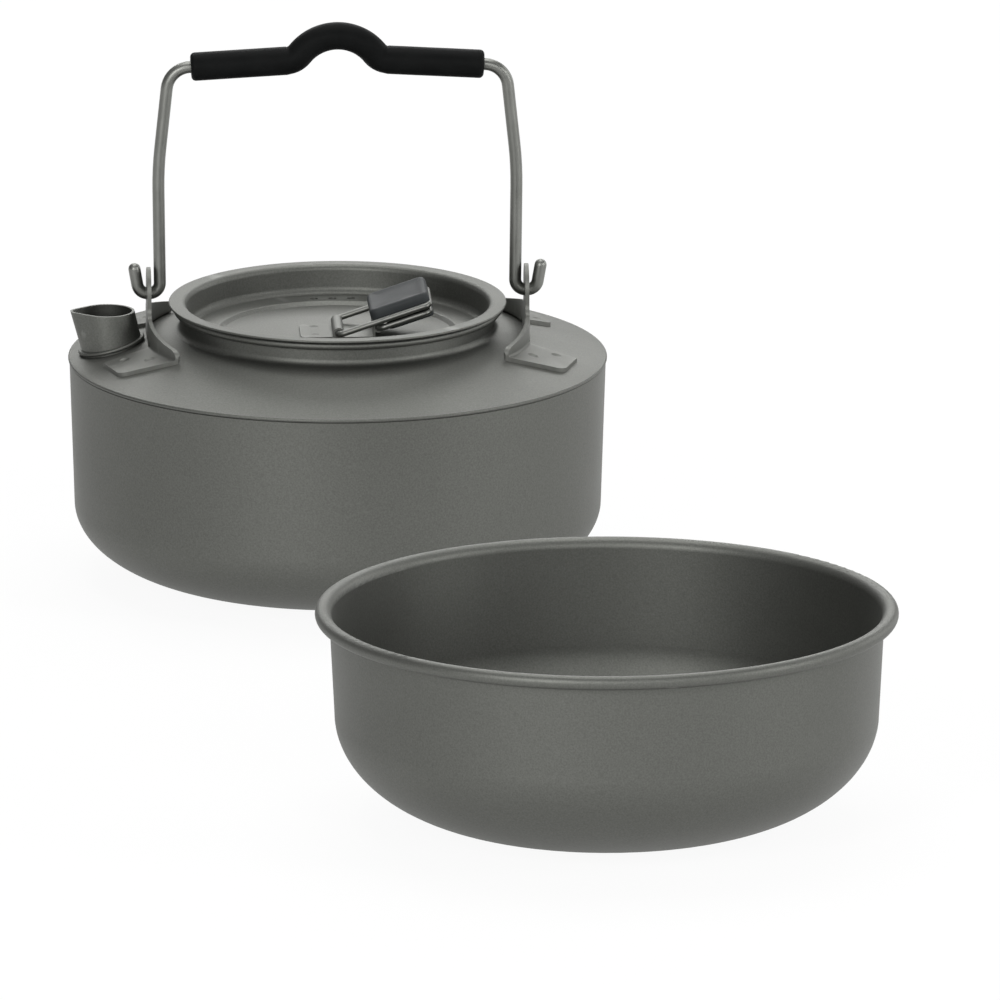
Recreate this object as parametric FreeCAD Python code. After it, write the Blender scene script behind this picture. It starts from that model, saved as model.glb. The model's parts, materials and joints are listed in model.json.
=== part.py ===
import FreeCAD, Part
import math
import os

# A two-piece camp cooking set in thin titanium sheet: a low kettle with a spout, a bail and a
# lid, and an open bowl that stands beside it. Millimetres, +Z up. The origin is the centre of the
# kettle's flat base. The bail swings about X, the spout points along -X, and the front is -Y.

# Sheet and wire
SHEET = 0.6                 # drawn sheet of the kettle and the lid
BOWL_SHEET = 0.6
BRACKET_SHEET = 1.0
HINGE_SHEET = 0.55
BAIL_ROD_R = 1.5
LOOP_WIRE_R = 0.75

# Clearances
SEAT_GAP = 0.25             # lid flange above the neck's rolled rim
PLUG_GAP = 0.3              # lid wall inside the neck, on the radius
BAIL_HOLE_GAP = 0.10        # rod in the ear's hole, on the radius
KNUCKLE_GAP = 0.12          # loop wire in its knuckle, on the radius
FLANGE_GAP = 0.1            # spout flange beside the bracket's wall

# Kettle body
KETTLE_R = 66.3             # outside of the wall at the seam
KETTLE_TAPER = 1.2          # the wall leans in by this much down to the base corner
KETTLE_CORNER_R = 32.0      # base corner, measured across
KETTLE_CORNER_H = 18.5      # base corner, measured up
SEAM_Z = 54.3               # top edge of the body, where the shoulder is seamed on
SEAM_BEVEL = 0.25

# Shoulder and neck
RIDGE_H = 0.75              # seam ridge
RIDGE_OUT = 0.3             # how far the ridge stands out of the wall
NECK_R = 38.9               # outside of the neck
NECK_FOOT_Z = 62.2          # where the cone would meet the neck
NECK_FILLET = 1.6
NECK_TOP = 68.0
NECK_BEAD_R = 0.95
NECK_BEAD_OUT = 0.1         # how far the bead stands clear of the neck's middle line

# Lid
LID_R = 41.6
LID_DEPTH = 7.15            # flange top down to the ledge
LID_STEP = 0.9              # ledge down to the inner floor
LID_FLOOR_R = 28.4          # inner floor
LID_WALL_LEAN = 0.4         # the recess wall leans in by this much
LID_LIP_FILLET = 1.4
LID_FLOOR_FILLET = 1.8
LID_STEP_RUN = 1.1
VENT_R = 1.0
VENT_PITCH = 4.6
VENT_COUNT = 3
VENT_Y = 31.8

# Spout
SPOUT_X = 55.75             # base centre from the kettle's axis
SPOUT_TUBE_R = 7.5
SPOUT_FLANGE_H = 0.85       # flange, with a fully rounded edge
SPOUT_FLANGE_LIFT = 0.35    # flange's underside above the cone
SPOUT_FOOT_OUT = 0.25       # foot under the flange, outside the tube
SPOUT_SHEET = 0.6
MOUTH_X = 57.0              # centre of the mouth's round part
MOUTH_R = 6.8
MOUTH_LIP = 9.1             # centre to the tip of the pouring lip
MOUTH_LIP_TIP_R = 2.8
MOUTH_TURNS = (50, 20)      # degrees from the lip where the foot's arcs match the mouth's edges
MOUTH_Z = 67.0

# Bail brackets
EAR_X = 46.7                # mid-plane of the ear
EAR_HALF = 6.0
EAR_ABOVE_PIVOT = 6.5
EAR_FLARE = 2.4
WALL_FLAT_HALF = 7.0        # the wall is flat this far each way, then curves in
WALL_BEND_R = 34.0
WALL_HALF = 26.7            # half length of the wall
WALL_TOP = 6.2              # ear's foot above the cone at the ear
WALL_END_TOP = 3.0          # wall's ends above the cone there
WALL_END_R = 2.2
TAB_INNER_Y = 12.2          # where the tabs start
TAB_OUTER_Y = 15.8
FRONT_TAB_X = 58.5
FRONT_TAB_CORNER_X = 55.0
REAR_TAB_X = 53.4
REAR_TAB_CORNER_X = 50.6
TAB_CORNER_R = 3.0
NOTCH_HALF = 1.6            # relief notch, along the wall
NOTCH_H = 2.2               # relief notch, above the cone
FOLD_R = 0.8                # inside of the bends between the wall and its feet
FOLD_OUTER_R = 1.1          # outside of the same bends
WELD_R = 2.9                # spherical spot-weld dimples
WELD_DEPTH = 0.26
WELD_SPOTS = [(47.9, 21.9), (54.0, 17.6)]
REAR_WELD_SPOTS = [(47.4, 21.9), (50.9, 18.0)]

# Bail
PIVOT_Z = 71.3
LEG_X = 43.9                # inner leg at the hook
HOOK_BEND_R = 2.6
HOOK_TIP_X = 50.2
HOOK_TIP_Z = 77.5           # end of the outer leg, before its rounded tip
HOOK_LEAN = 10.0            # degrees
LEG_KNEE_X = 44.3
LEG_KNEE_Z = 103.0
LEG_KNEE_R = 90.0
BAR_CORNER_X = 41.6
BAR_CORNER_R = 6.0
BAR_INNER_Z = 130.0         # bar where the hump starts
BAR_SLOPE = 3.2             # degrees, up from the corner to the hump
HUMP_R = 11.8
HUMP_TOP = 136.2
HUMP_FILLET = 4.5
GRIP_R = 3.55
GRIP_HALF = 36.2
GRIP_END_ROUND = 1.1

# Lid loops
KNUCKLE_LENGTH = 13.6       # between the loops' corner bends
PLATE_LEFT = -9.3           # hinge plate's free end
PLATE_CORNER_R = 1.5
PLATE_WELDS = [(-5.8, -4.0), (-5.8, 4.0)]
LONG_AXIS_X = 0.0
SHORT_AXIS_X = 9.95
SHORT_AXIS_RISE = 1.5       # short loop's hinge above the long loop's
LOOP_HALF = 8.5             # leg centre from the middle
LOOP_CORNER_R = 1.7
LOOP_TILT = 18.5            # degrees at rest, both loops
LONG_REACH = 23.6
SHORT_REACH = 13.2
LONG_PAD_START = 8.8
LONG_PAD_END = 23.7
LONG_PAD_LOW = 0.1          # pad bottom above the wires' plane
LONG_PAD_RISE = 3.4         # pad top above the wires' plane
SHORT_PAD_START = 2.1
SHORT_PAD_END = 14.05
SHORT_PAD_RISE = 0.5
SHORT_PAD_DROP_IN = 1.2     # pad bottom below the wires' plane, at its inner end
SHORT_PAD_DROP_OUT = 1.65
PAD_SIDE = 0.65             # pad's sides inside the legs' middle lines
PAD_ROUND = 0.5

# Bowl
BOWL_X = 55.25
BOWL_Y = -247.1
BOWL_H = 52.9
BOWL_R = 67.2              # outside of the wall under the rim
BOWL_TAPER = 1.27
BOWL_CORNER_R = 39.2
BOWL_CORNER_H = 26.6
RIM_BEAD_R = 1.7
RIM_BEAD_OUT = 0.05         # bead clear of the wall
RIM_CURL_END = 30.0         # degrees short of closing on the wall

TINY = 1e-6                 # keeps a curve's point off its very end

# Worked out
CONE_SLOPE = (NECK_FOOT_Z - SEAM_Z - RIDGE_H) / (KETTLE_R - NECK_R)
CONE_TILT = math.degrees(math.atan(CONE_SLOPE))
NECK_BORE = NECK_R - SHEET
FLANGE_Z = NECK_TOP + SEAT_GAP
LID_TOP = FLANGE_Z + SHEET
LEDGE_Z = LID_TOP - LID_DEPTH
LID_FLOOR_Z = LEDGE_Z - LID_STEP
LID_WALL_R = NECK_BORE - PLUG_GAP - SHEET
KNUCKLE_BORE = LOOP_WIRE_R + KNUCKLE_GAP
KNUCKLE_R = KNUCKLE_BORE + HINGE_SHEET
LONG_AXIS_Z = LID_FLOOR_Z + KNUCKLE_R
SHORT_AXIS_Z = LONG_AXIS_Z + SHORT_AXIS_RISE
SPOUT_FLANGE_R = SPOUT_X - EAR_X - BRACKET_SHEET / 2 - FLANGE_GAP
HUMP_X = math.sqrt((HUMP_R + HUMP_FILLET) ** 2 - (BAR_INNER_Z + HUMP_FILLET - HUMP_TOP + HUMP_R) ** 2)

ORIGIN = FreeCAD.Vector(0, 0, 0)
X_AXIS = FreeCAD.Vector(1, 0, 0)
Y_AXIS = FreeCAD.Vector(0, 1, 0)
Z_AXIS = FreeCAD.Vector(0, 0, 1)


def at(r, z):
    """A point of a turned outline: radius and height."""
    return FreeCAD.Vector(r, 0, z)


def flat(x, y):
    """A point of a plan outline."""
    return FreeCAD.Vector(x, y, 0)


def line(a, b):
    return Part.LineSegment(a, b).toShape()


def arc(a, middle, b):
    return Part.Arc(a, middle, b).toShape()


def round_arc(centre, radius, start, end):
    """An arc in the XZ plane about centre, from one angle in degrees to another."""
    def point(angle):
        turn = math.radians(angle)
        return centre + FreeCAD.Vector(radius * math.cos(turn), 0, radius * math.sin(turn))
    return arc(point(start), point((start + end) / 2), point(end))


def corner_arc(centre_r, centre_z, across, down):
    """The quarter ellipse of a drawn base corner, from the wall round to the flat base."""
    centre = at(centre_r, centre_z)
    oval = Part.Ellipse(at(centre_r + across, centre_z), at(centre_r, centre_z - down), centre)
    return Part.ArcOfEllipse(oval, 0, math.pi / 2).toShape()


def outline(edges):
    return Part.Face(Part.Wire(Part.__sortEdges__(edges)))


def polygon(points):
    return Part.Face(Part.makePolygon(points + points[:1]))


def turned(face):
    return face.revolve(ORIGIN, Z_AXIS, 360)


def prism(face, direction, start, length):
    body = face.extrude(direction * length)
    body.translate(direction * start)
    return body


def rounded_path(points, radii):
    """Straight runs joined by tangent arcs, one radius for each inner point."""
    edges = []
    here = points[0]
    for before, corner, after, radius in zip(points, points[1:], points[2:], radii):
        back = (before - corner).normalize()
        ahead = (after - corner).normalize()
        half = back.getAngle(ahead) / 2
        reach = radius / math.tan(half)
        bisector = (back + ahead).normalize()
        middle = corner + bisector * (radius / math.sin(half) - radius)
        edges.append(line(here, corner + back * reach))
        edges.append(arc(corner + back * reach, middle, corner + ahead * reach))
        here = corner + ahead * reach
    edges.append(line(here, points[-1]))
    return edges


def cone_z(r):
    """Height of the shoulder's top surface at radius r."""
    return SEAM_Z + RIDGE_H + CONE_SLOPE * (KETTLE_R - r)


def drawn_shell(wall_r, taper, corner_r, corner_h, sheet):
    """Edges of a drawn vessel's base and corner, inside and out, and the wall's foot points."""
    foot_r = wall_r - taper
    centre_r = foot_r - corner_r
    outer = corner_arc(centre_r, corner_h, corner_r, corner_h)
    inner = corner_arc(centre_r, corner_h, corner_r - sheet, corner_h - sheet)
    base = [line(at(0, 0), at(centre_r, 0)), line(at(0, sheet), at(centre_r, sheet))]
    middle = line(at(0, 0), at(0, sheet))
    return [outer, inner, middle] + base, at(foot_r, corner_h), at(foot_r - sheet, corner_h)


def kettle_body():
    edges, outer_foot, inner_foot = drawn_shell(
        KETTLE_R, KETTLE_TAPER, KETTLE_CORNER_R, KETTLE_CORNER_H, SHEET)
    outer_top = at(KETTLE_R, SEAM_Z - SEAM_BEVEL)
    bevel_top = at(KETTLE_R - SEAM_BEVEL, SEAM_Z)
    inner_top = at(KETTLE_R - SHEET, SEAM_Z)
    edges.append(line(outer_foot, outer_top))
    edges.append(line(outer_top, bevel_top))
    edges.append(line(bevel_top, inner_top))
    edges.append(line(inner_top, inner_foot))
    return turned(outline(edges))


def neck_curl():
    """Edges from the neck's outer wall round the rolled rim to its inner wall."""
    bead = at(NECK_BORE + SHEET / 2 + NECK_BEAD_R + NECK_BEAD_OUT, NECK_TOP - NECK_BEAD_R)
    reach = (bead.x - NECK_R) / NECK_BEAD_R
    start = 180 + math.degrees(math.acos(reach))
    over = bead.x - NECK_BORE
    curl = at(bead.x, NECK_TOP - over)
    around = round_arc(bead, NECK_BEAD_R, start, 450)
    inside = round_arc(curl, over, 90, 180)
    return [around, inside], NECK_TOP - over, bead.z - NECK_BEAD_R * math.sqrt(1 - reach ** 2)


def fillet_corner(a, corner, b, radius):
    """Edges a-corner-b with the corner rounded."""
    return rounded_path([a, corner, b], [radius])


def kettle_shoulder():
    curl, inner_z, outer_z = neck_curl()
    under = SHEET / math.cos(math.radians(CONE_TILT))
    ridge_r = KETTLE_R + RIDGE_OUT
    ridge_mid = SEAM_Z + RIDGE_H / 2
    ridge_top = at(KETTLE_R - RIDGE_OUT, cone_z(KETTLE_R - RIDGE_OUT))
    inner_low = at(KETTLE_R - SHEET, cone_z(KETTLE_R - SHEET) - under)
    top_foot = at(NECK_R, cone_z(NECK_R))
    under_foot = at(NECK_BORE, cone_z(NECK_BORE) - under)
    edges = [arc(at(KETTLE_R, SEAM_Z), at(ridge_r, ridge_mid), ridge_top)]
    edges += fillet_corner(ridge_top, top_foot, at(NECK_R, outer_z), NECK_FILLET)
    edges += curl
    edges += fillet_corner(at(NECK_BORE, inner_z), under_foot, inner_low, NECK_FILLET + SHEET)
    edges.append(line(inner_low, at(KETTLE_R - SHEET, SEAM_Z)))
    edges.append(line(at(KETTLE_R - SHEET, SEAM_Z), at(KETTLE_R, SEAM_Z)))
    return turned(outline(edges)).cut(spout_bore())


def under_cone():
    """Everything below the shoulder's top surface."""
    edge = KETTLE_R - RIDGE_OUT
    inner = NECK_R + NECK_FILLET
    points = [at(0, 0), at(edge, 0), at(edge, cone_z(edge)), at(inner, cone_z(inner)), at(0, cone_z(inner))]
    return turned(polygon(points))


def in_spout_frame(shape):
    """Stand a shape on the cone at the spout's place, tilted with the cone."""
    shape.rotate(ORIGIN, Y_AXIS, -CONE_TILT)
    shape.translate(FreeCAD.Vector(-SPOUT_X, 0, cone_z(SPOUT_X)))
    return shape


def mouth_wire(inset):
    """The mouth's outline: a large round and a small one towards -X, joined by their tangents."""
    radius = MOUTH_R - inset
    tip_r = MOUTH_LIP_TIP_R - inset
    tip_x = MOUTH_LIP_TIP_R - MOUTH_LIP
    spread = math.acos((radius - tip_r) / -tip_x)
    side = flat(-radius * math.cos(spread), radius * math.sin(spread))
    nose = flat(tip_x - tip_r * math.cos(spread), tip_r * math.sin(spread))
    far_side = flat(side.x, -side.y)
    far_nose = flat(nose.x, -nose.y)
    wire = Part.Wire([
        arc(far_side, flat(radius, 0), side),
        line(side, nose),
        arc(nose, flat(tip_x - tip_r, 0), far_nose),
        line(far_nose, far_side)])
    wire.translate(FreeCAD.Vector(-MOUTH_X, 0, MOUTH_Z))
    return wire


def base_wire(inset, drop):
    """A circle on the cone, cut into arcs that match the mouth's edges."""
    radius = SPOUT_TUBE_R - inset
    wide, narrow = MOUTH_TURNS
    turns = [math.pi - math.radians(angle) for angle in (wide, narrow, -narrow, -wide)]

    def point(turn):
        return FreeCAD.Vector(radius * math.cos(turn), radius * math.sin(turn), -drop)

    side, nose, far_nose, far_side = [point(turn) for turn in turns]
    wire = Part.Wire([
        arc(far_side, point(0), side),
        arc(side, point((turns[0] + turns[1]) / 2), nose),
        arc(nose, point(math.pi), far_nose),
        arc(far_nose, point((turns[2] + turns[3]) / 2), far_side)])
    return in_spout_frame(wire)


def spout_bore():
    """The spout's hollow, carried down through the shoulder's sheet."""
    return Part.makeLoft([base_wire(SPOUT_SHEET, 2 * SHEET), mouth_wire(SPOUT_SHEET)], True, True)


def spout():
    tube = Part.makeLoft([base_wire(0, SHEET), mouth_wire(0)], True, True)
    foot = SPOUT_TUBE_R + SPOUT_FOOT_OUT
    round_r = SPOUT_FLANGE_H / 2
    rim = SPOUT_FLANGE_R - round_r
    top = SPOUT_FLANGE_LIFT + SPOUT_FLANGE_H
    edges = [
        line(at(0, -2 * SHEET), at(foot, -2 * SHEET)),
        line(at(foot, -2 * SHEET), at(foot, SPOUT_FLANGE_LIFT)),
        line(at(foot, SPOUT_FLANGE_LIFT), at(rim, SPOUT_FLANGE_LIFT)),
        round_arc(at(rim, SPOUT_FLANGE_LIFT + round_r), round_r, -90, 90),
        line(at(rim, top), at(0, top)),
        line(at(0, top), at(0, -2 * SHEET))]
    collar = in_spout_frame(turned(outline(edges)))
    return tube.fuse(collar).cut(spout_bore()).cut(under_cone()).removeSplitter()


def wall_arc_centre(side):
    return FreeCAD.Vector(EAR_X - WALL_BEND_R, side * WALL_FLAT_HALF, 0)


def wall_point(y, offset):
    """A plan point of the bracket's curved wall at y, offset outwards from its middle."""
    side = math.copysign(1, y)
    beyond = abs(y) - WALL_FLAT_HALF
    if beyond <= 0:
        return flat(EAR_X + offset, y)
    turn = math.asin(beyond / WALL_BEND_R)
    reach = WALL_BEND_R + offset
    return wall_arc_centre(side) + FreeCAD.Vector(reach * math.cos(turn), side * reach * math.sin(turn), 0)


def wall_curve(y_from, y_to, offset):
    """The wall's curve between two places on one side."""
    middle = (y_from + y_to) / 2
    return arc(wall_point(y_from, offset), wall_point(middle, offset), wall_point(y_to, offset))


def bracket_wall():
    half = BRACKET_SHEET / 2
    flat_y = WALL_FLAT_HALF + TINY
    edges = []
    for offset in (-half, half):
        edges.append(wall_curve(-WALL_HALF, -flat_y, offset))
        edges.append(line(wall_point(-flat_y, offset), wall_point(flat_y, offset)))
        edges.append(wall_curve(flat_y, WALL_HALF, offset))
    for y in (-WALL_HALF, WALL_HALF):
        edges.append(line(wall_point(y, -half), wall_point(y, half)))
    strip = prism(outline(edges), Z_AXIS, cone_z(KETTLE_R), PIVOT_Z)
    return strip.common(bracket_side())


def bracket_side():
    """The bracket seen along X: a tall ear on a low wall."""
    def side_point(y, z):
        return FreeCAD.Vector(0, y, z)

    end_r = math.hypot(wall_point(WALL_HALF, 0).x, WALL_HALF)
    low = SEAM_Z
    end_z = cone_z(end_r) + WALL_END_TOP
    foot_z = cone_z(EAR_X) + WALL_TOP
    top_z = PIVOT_Z + EAR_ABOVE_PIVOT
    spring_z = top_z - EAR_HALF
    shape = None
    for side in (-1, 1):
        ear_y = side * EAR_HALF
        foot_y = side * (WALL_FLAT_HALF + EAR_FLARE)
        points = [side_point(0, low), side_point(side * WALL_HALF, low), side_point(side * WALL_HALF, end_z),
                  side_point(foot_y, foot_z), side_point(ear_y, foot_z), side_point(ear_y, spring_z)]
        edges = [line(points[0], points[1])]
        edges += rounded_path(points[1:], [WALL_END_R, 2 * WALL_END_R, EAR_FLARE])
        rise = EAR_HALF * math.sqrt(0.5)
        edges.append(arc(points[-1], side_point(side * rise, spring_z + rise), side_point(0, top_z)))
        edges.append(line(side_point(0, top_z), points[0]))
        half = prism(outline(edges), X_AXIS, 0, KETTLE_R)
        shape = half if shape is None else shape.fuse(half)
    return shape.removeSplitter()


def tab(side, edge_x, corner_x):
    """One folded foot, lying on the cone: side is -1 for the front and +1 for the rear."""
    start = wall_point(side * TAB_INNER_Y, 0)
    end = wall_point(side * WALL_HALF, 0)
    corner = flat(corner_x, end.y)
    tip = flat(edge_x, side * TAB_OUTER_Y)
    edges = rounded_path([end, corner, tip], [TAB_CORNER_R])
    edges.append(line(tip, start))
    edges.append(wall_curve(side * TAB_INNER_Y, side * WALL_HALF, 0))
    thick = BRACKET_SHEET / math.cos(math.radians(CONE_TILT))
    inner = NECK_R + NECK_FILLET
    outer = KETTLE_R - RIDGE_OUT
    layer = turned(polygon([
        at(inner, cone_z(inner)), at(outer, cone_z(outer)),
        at(outer, cone_z(outer) + thick), at(inner, cone_z(inner) + thick)]))
    return prism(outline(edges), Z_AXIS, SEAM_Z, NECK_TOP - SEAM_Z).common(layer)


def weld_dimple(x, y):
    top = cone_z(math.hypot(x, y)) + BRACKET_SHEET / math.cos(math.radians(CONE_TILT))
    return Part.makeSphere(WELD_R, FreeCAD.Vector(x, y, top + WELD_R - WELD_DEPTH))


def notch(side):
    """Relief cut at the foot of the wall, where a tab's fold starts."""
    y = side * (TAB_INNER_Y - NOTCH_HALF)
    z = cone_z(math.hypot(EAR_X, y))
    points = [FreeCAD.Vector(0, y - NOTCH_HALF, z), FreeCAD.Vector(0, y - NOTCH_HALF, z - NOTCH_H),
              FreeCAD.Vector(0, y + NOTCH_HALF, z - NOTCH_H), FreeCAD.Vector(0, y + NOTCH_HALF, z),
              FreeCAD.Vector(0, y, z + NOTCH_H)]
    return prism(polygon(points), X_AXIS, 0, KETTLE_R)


def fold_edges(shape, offset, lift):
    """Edges along the feet's folds, on the wall's face at offset and at lift above the cone."""
    found = []
    for edge in shape.Edges:
        middle = edge.valueAt((edge.FirstParameter + edge.LastParameter) / 2)
        if not TAB_INNER_Y < abs(middle.y) < WALL_HALF or edge.Length < TAB_CORNER_R:
            continue
        off_wall = abs(wall_point(middle.y, offset).x - middle.x)
        off_foot = abs(cone_z(math.hypot(middle.x, middle.y)) + lift - middle.z)
        if max(off_wall, off_foot) < BRACKET_SHEET / 8:
            found.append(edge)
    return found


def bracket():
    half = BRACKET_SHEET / 2
    shape = bracket_wall().fuse(tab(-1, FRONT_TAB_X, FRONT_TAB_CORNER_X))
    shape = shape.fuse(tab(1, REAR_TAB_X, REAR_TAB_CORNER_X)).cut(under_cone())
    hole = Part.makeCylinder(BAIL_ROD_R + BAIL_HOLE_GAP, KETTLE_R, at(0, PIVOT_Z), X_AXIS)
    cutters = [hole] + [notch(side) for side in (-1, 1)]
    cutters += [weld_dimple(x, -y) for x, y in WELD_SPOTS]
    cutters += [weld_dimple(x, y) for x, y in REAR_WELD_SPOTS]
    for cutter in cutters:
        shape = shape.cut(cutter)
    shape = shape.removeSplitter()
    thick = BRACKET_SHEET / math.cos(math.radians(CONE_TILT))
    shape = shape.makeFillet(FOLD_R, fold_edges(shape, half, thick))
    return shape.makeFillet(FOLD_OUTER_R, fold_edges(shape, -half, 0))


def mirrored(shape):
    return shape.mirror(ORIGIN, X_AXIS)


def fillet_centre(side):
    """Centre of the concave bend between the bar and the hump."""
    return at(side * HUMP_X, BAR_INNER_Z + HUMP_FILLET)


def bar_foot():
    """Where the right-hand bar meets the bend into the hump."""
    slope = math.radians(BAR_SLOPE)
    return fillet_centre(1) - at(HUMP_FILLET * math.sin(slope), HUMP_FILLET * math.cos(slope))


def bar_corner():
    """Where the right-hand bar and leg would meet."""
    foot = bar_foot()
    return at(BAR_CORNER_X, foot.z - (BAR_CORNER_X - foot.x) * math.tan(math.radians(BAR_SLOPE)))


def leg_points():
    """Corners of the right half of the bail, from the hook's tip to the hump's foot."""
    lean = math.tan(math.radians(HOOK_LEAN))
    return [
        at(HOOK_TIP_X, HOOK_TIP_Z),
        at(HOOK_TIP_X - (HOOK_TIP_Z - PIVOT_Z) * lean, PIVOT_Z),
        at(LEG_X, PIVOT_Z),
        at(LEG_KNEE_X, LEG_KNEE_Z),
        bar_corner(),
        bar_foot()]


def hump_edges(side):
    """The bail's hump from its foot to its top, on one side."""
    centre = at(0, HUMP_TOP - HUMP_R)
    foot_centre = fillet_centre(side)
    toward = (foot_centre - centre).normalize()
    meet = centre + toward * HUMP_R
    foot = at(side * bar_foot().x, bar_foot().z)
    down = ((foot + meet) * 0.5 - foot_centre).normalize()
    up = ((meet + at(0, HUMP_TOP)) * 0.5 - centre).normalize()
    return [arc(foot, foot_centre + down * HUMP_FILLET, meet),
            arc(meet, centre + up * HUMP_R, at(0, HUMP_TOP))]


def grip_end():
    """Where the grip's round ends begin, on the right-hand run of the bar."""
    foot = bar_foot()
    share = (GRIP_HALF - GRIP_END_ROUND - foot.x) / (BAR_CORNER_X - foot.x)
    return foot, foot + (bar_corner() - foot) * share


def grip_path():
    """The middle of the bail, under the grip."""
    foot, end = grip_end()
    edges = []
    for side in (-1, 1):
        edges.append(line(at(side * end.x, end.z), at(side * foot.x, foot.z)))
        edges += hump_edges(side)
    return Part.Wire(Part.__sortEdges__(edges))


def grip_cap():
    """The grip's rounded right-hand end."""
    foot, end = grip_end()
    shoulder = at(GRIP_R - GRIP_END_ROUND, 0)
    shape = turned(outline([
        line(at(BAIL_ROD_R, 0), at(GRIP_R, 0)),
        round_arc(shoulder, GRIP_END_ROUND, 0, 90),
        line(at(shoulder.x, GRIP_END_ROUND), at(BAIL_ROD_R, GRIP_END_ROUND)),
        line(at(BAIL_ROD_R, GRIP_END_ROUND), at(BAIL_ROD_R, 0))]))
    shape.rotate(ORIGIN, Y_AXIS, math.degrees((end - foot).getAngle(Z_AXIS)))
    shape.translate(end)
    return shape


def swept(path, radii):
    """A round section swept along a path in the XZ plane; a second radius makes it hollow."""
    start = path.OrderedVertexes[0].Point
    first = path.OrderedEdges[0]
    direction = first.tangentAt(first.FirstParameter)
    rings = [Part.Wire(Part.makeCircle(radius, start, direction)) for radius in radii]
    return path.makePipe(Part.Face(rings)).Solids[0]


def bail_wire():
    points = leg_points()
    radii = [HOOK_BEND_R, HOOK_BEND_R, LEG_KNEE_R, BAR_CORNER_R]
    edges = rounded_path(points, radii)
    edges += rounded_path([at(-point.x, point.z) for point in points], radii)
    edges += hump_edges(-1) + hump_edges(1)
    path = Part.Wire(Part.__sortEdges__(edges))
    shape = swept(path, [BAIL_ROD_R])
    for side in (-1, 1):
        shape = shape.fuse(Part.makeSphere(BAIL_ROD_R, at(side * HOOK_TIP_X, HOOK_TIP_Z)))
    return shape.removeSplitter()


def bail_grip():
    shape = swept(grip_path(), [GRIP_R, BAIL_ROD_R])
    return shape.fuse(grip_cap()).fuse(mirrored(grip_cap())).removeSplitter()


def lid():
    top = [
        at(LID_R, LID_TOP), at(LID_WALL_R, LID_TOP), at(LID_WALL_R - LID_WALL_LEAN, LEDGE_Z),
        at(LID_FLOOR_R + LID_STEP_RUN, LEDGE_Z), at(LID_FLOOR_R, LID_FLOOR_Z), at(0, LID_FLOOR_Z)]
    wall_turn = math.atan2(LID_WALL_LEAN, LID_DEPTH)
    step_turn = math.atan2(LID_STEP, LID_STEP_RUN)
    out = SHEET * math.tan(math.pi / 4 - wall_turn / 2)
    step_out = SHEET * math.tan(step_turn / 2)
    low = [
        at(LID_R, FLANGE_Z), at(top[1].x + out, FLANGE_Z), at(top[2].x + out, LEDGE_Z - SHEET),
        at(top[3].x - step_out, LEDGE_Z - SHEET), at(top[4].x - step_out, LID_FLOOR_Z - SHEET),
        at(0, LID_FLOOR_Z - SHEET)]
    edges = rounded_path(top, [LID_LIP_FILLET, LID_FLOOR_FILLET, SHEET, SHEET / 2])
    edges += rounded_path(low, [LID_LIP_FILLET - SHEET, LID_FLOOR_FILLET + SHEET, SHEET / 2, SHEET])
    edge_mid = at(LID_R + SHEET / 4, LID_TOP - SHEET / 2)
    edges.append(arc(top[0], edge_mid, low[0]))
    edges.append(line(top[-1], low[-1]))
    shape = turned(outline(edges))
    for index in range(VENT_COUNT):
        x = (index - (VENT_COUNT - 1) / 2) * VENT_PITCH
        low = FreeCAD.Vector(x, VENT_Y, LID_FLOOR_Z - SHEET)
        shape = shape.cut(Part.makeCylinder(VENT_R, LID_DEPTH, low))
    return shape


def lid_hinge_plate():
    """A plate on the lid's floor: a knuckle rolled on it, and one on its raised end."""
    half = KNUCKLE_LENGTH / 2
    riser_x = SHORT_AXIS_X - KNUCKLE_R
    end_x = riser_x + HINGE_SHEET
    corners = [flat(end_x, half), flat(PLATE_LEFT, half), flat(PLATE_LEFT, -half), flat(end_x, -half)]
    edges = rounded_path(corners, [PLATE_CORNER_R, PLATE_CORNER_R])
    edges.append(line(corners[-1], corners[0]))
    shape = prism(outline(edges), Z_AXIS, LID_FLOOR_Z, HINGE_SHEET)
    foot = FreeCAD.Vector(riser_x, -half, LID_FLOOR_Z)
    riser = Part.makeBox(HINGE_SHEET, KNUCKLE_LENGTH, SHORT_AXIS_Z - LID_FLOOR_Z, foot)
    shape = shape.fuse(riser)
    ends = [FreeCAD.Vector(LONG_AXIS_X, -half, LONG_AXIS_Z), FreeCAD.Vector(SHORT_AXIS_X, -half, SHORT_AXIS_Z)]
    for end in ends:
        shape = shape.fuse(Part.makeCylinder(KNUCKLE_R, KNUCKLE_LENGTH, end, Y_AXIS))
    for end in ends:
        shape = shape.cut(Part.makeCylinder(KNUCKLE_BORE, KNUCKLE_LENGTH, end, Y_AXIS))
    top = LID_FLOOR_Z + HINGE_SHEET
    for x, y in PLATE_WELDS:
        shape = shape.cut(Part.makeSphere(WELD_R, FreeCAD.Vector(x, y, top + WELD_R - WELD_DEPTH)))
    return shape.removeSplitter()


def on_hinge(shape, x, z):
    """Put a shape that is drawn flat on its hinge axis, raised by its resting tilt."""
    shape.rotate(ORIGIN, Y_AXIS, -LOOP_TILT)
    shape.translate(at(x, z))
    return shape


def loop_wire(reach):
    """A closed rectangle of wire, drawn flat: its first side lies on the hinge axis."""
    corners = [flat(0, 0), flat(0, -LOOP_HALF), flat(reach, -LOOP_HALF), flat(reach, 0)]
    edges = rounded_path(corners, [LOOP_CORNER_R, LOOP_CORNER_R])
    half = swept(Part.Wire(edges), [LOOP_WIRE_R])
    return half.fuse(half.mirror(ORIGIN, Y_AXIS)).removeSplitter()


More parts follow.
